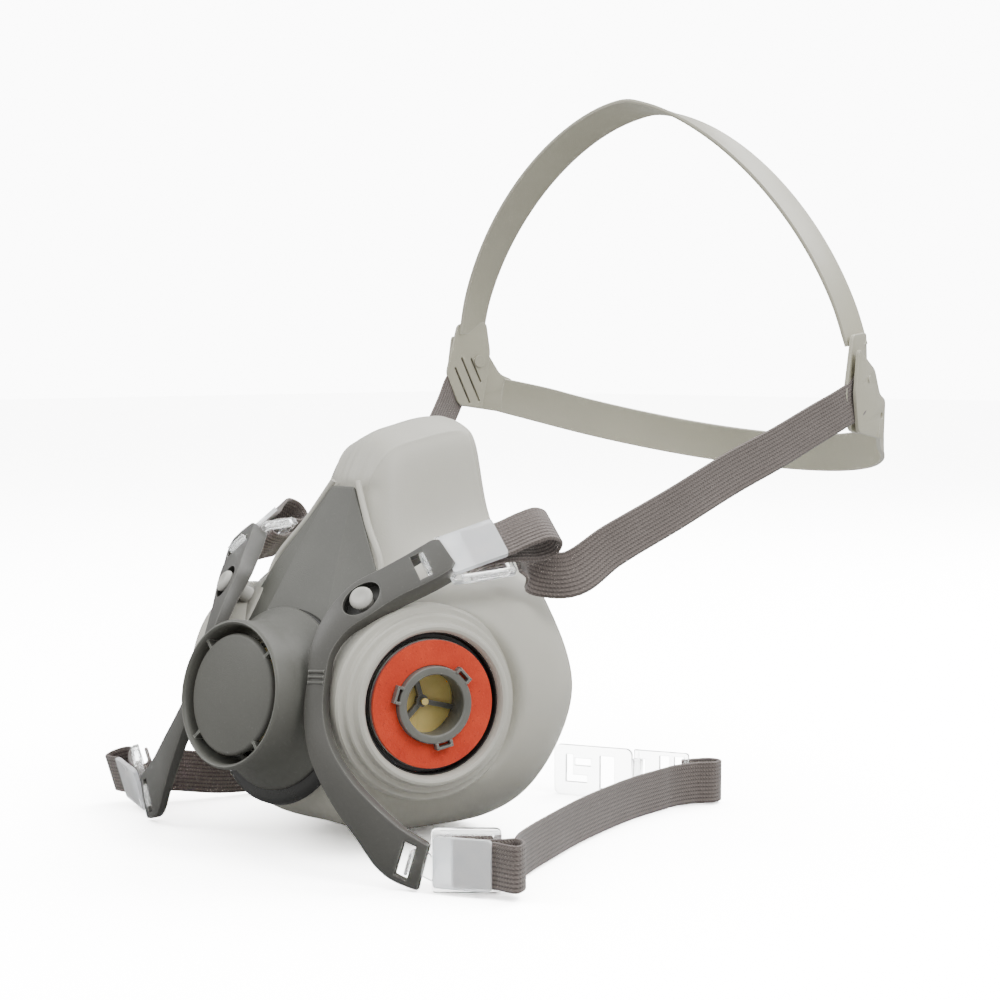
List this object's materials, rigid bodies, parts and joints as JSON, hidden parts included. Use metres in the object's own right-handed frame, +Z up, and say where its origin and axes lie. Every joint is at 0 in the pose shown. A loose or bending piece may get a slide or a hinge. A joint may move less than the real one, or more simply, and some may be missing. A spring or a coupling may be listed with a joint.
{
  "type": "reusable half-mask respirator",
  "caption": "Reusable half-mask respirator: soft facepiece, hard front cover, bayonet filter ports, yoke arms, buckled elastic straps, head cradle and neck clasp.",
  "frame": {"origin": "centre of the footprint's bounding box, on the surface the respirator stands on", "axes": "+Z up; -Y is the front of the mask, where the exhalation drum faces; +Y runs back to the nape band and is the longest extent; +X is the side of the wearer's left, named right in the node names as seen from the front"},
  "size_m": [0.2158, 0.3236, 0.2753],
  "materials": {
    "elastomer": "matte moulded elastomer, light grey",
    "stud_grey": "smooth moulded elastomer, light grey",
    "cover_grey": "fine matte moulding grain, dark grey",
    "arm_grey": "satin moulded, dark grey",
    "port_grey": "satin moulded, mid grey",
    "nut_dark": "satin moulded, charcoal",
    "gasket_orange": "fine felted texture, orange red",
    "membrane_tan": "thin smooth membrane, cream",
    "clear_plastic": "milky clear, polished with bright bevelled edges",
    "elastic": "knitted elastic with lengthwise ribs, taupe",
    "cradle_plastic": "satin flexible moulding, warm grey"
  },
  "bodies": {
    "mask": {"facepiece": "elastomer", "retaining_studs": "stud_grey", "front_cover": "cover_grey", "left_yoke_arm": "arm_grey", "right_yoke_arm": "arm_grey", "left_connector": "port_grey", "right_connector": "port_grey", "exhalation_seat": "port_grey", "left_port_nut": "nut_dark", "right_port_nut": "nut_dark", "left_gasket": "gasket_orange", "right_gasket": "gasket_orange", "left_neck_slider": "clear_plastic", "right_neck_slider": "clear_plastic", "neck_eye": "clear_plastic", "left_upper_strap": "elastic", "left_lower_strap": "elastic", "right_upper_strap": "elastic", "right_lower_strap": "elastic", "crown_band": "cradle_plastic", "nape_band": "cradle_plastic", "left_cradle_peg": "cradle_plastic", "right_cradle_peg": "cradle_plastic"},
    "exhalation_flap": {"exhalation_valve": "membrane_tan"},
    "right_inhalation_flap": {"right_inhalation_valve": "membrane_tan"},
    "left_inhalation_flap": {"left_inhalation_valve": "membrane_tan"},
    "neck_hook_half": {"neck_hook": "clear_plastic"},
    "right_upper_tensioner": {"right_upper_buckle": "clear_plastic", "right_upper_tongue": "clear_plastic", "right_upper_loop": "elastic"},
    "right_lower_tensioner": {"right_lower_buckle": "clear_plastic", "right_lower_tongue": "clear_plastic", "right_lower_loop": "elastic"},
    "left_upper_tensioner": {"left_upper_buckle": "clear_plastic", "left_upper_tongue": "clear_plastic", "left_upper_loop": "elastic"},
    "left_lower_tensioner": {"left_lower_buckle": "clear_plastic", "left_lower_tongue": "clear_plastic", "left_lower_loop": "elastic"}
  },
  "joints": [
    {"name": "exhalation_valve_lift", "type": "slide", "parent": "mask", "child": "exhalation_flap", "axis": [0, -0.9823, 0.1874], "range_m": [0, 0.0015], "stiffness_N_per_m": 20},
    {"name": "right_inhalation_lift", "type": "slide", "parent": "mask", "child": "right_inhalation_flap", "axis": [-0.9225, 0.3842, -0.038], "range_m": [0, 0.0015], "stiffness_N_per_m": 20},
    {"name": "left_inhalation_lift", "type": "slide", "parent": "mask", "child": "left_inhalation_flap", "axis": [0.9225, 0.3842, -0.038], "range_m": [0, 0.0015], "stiffness_N_per_m": 20},
    {"name": "right_upper_buckle_swing", "type": "hinge", "parent": "mask", "child": "right_upper_tensioner", "pos_m": [0.0501, -0.10964, 0.1022], "axis": [0.73, -0.24, -0.64], "range_deg": [0, 20]},
    {"name": "left_upper_buckle_swing", "type": "hinge", "parent": "mask", "child": "left_upper_tensioner", "pos_m": [-0.0501, -0.10964, 0.1022], "axis": [0.73, 0.24, 0.64], "range_deg": [0, 20]},
    {"name": "right_lower_buckle_swing", "type": "hinge", "parent": "mask", "child": "right_lower_tensioner", "pos_m": [0.071, -0.13784, 0.0089], "axis": [-0.331, -0.0401, -0.9428], "range_deg": [0, 20]},
    {"name": "left_lower_buckle_swing", "type": "hinge", "parent": "mask", "child": "left_lower_tensioner", "pos_m": [-0.071, -0.13784, 0.0089], "axis": [-0.331, 0.0401, 0.9428], "range_deg": [0, 20]},
    {"name": "neck_hook_swing", "type": "hinge", "parent": "mask", "child": "neck_hook_half", "pos_m": [0.04035, 0.01046, 0.0099], "axis": [0, 0, 1], "range_deg": [-15, 15]}
  ]
}
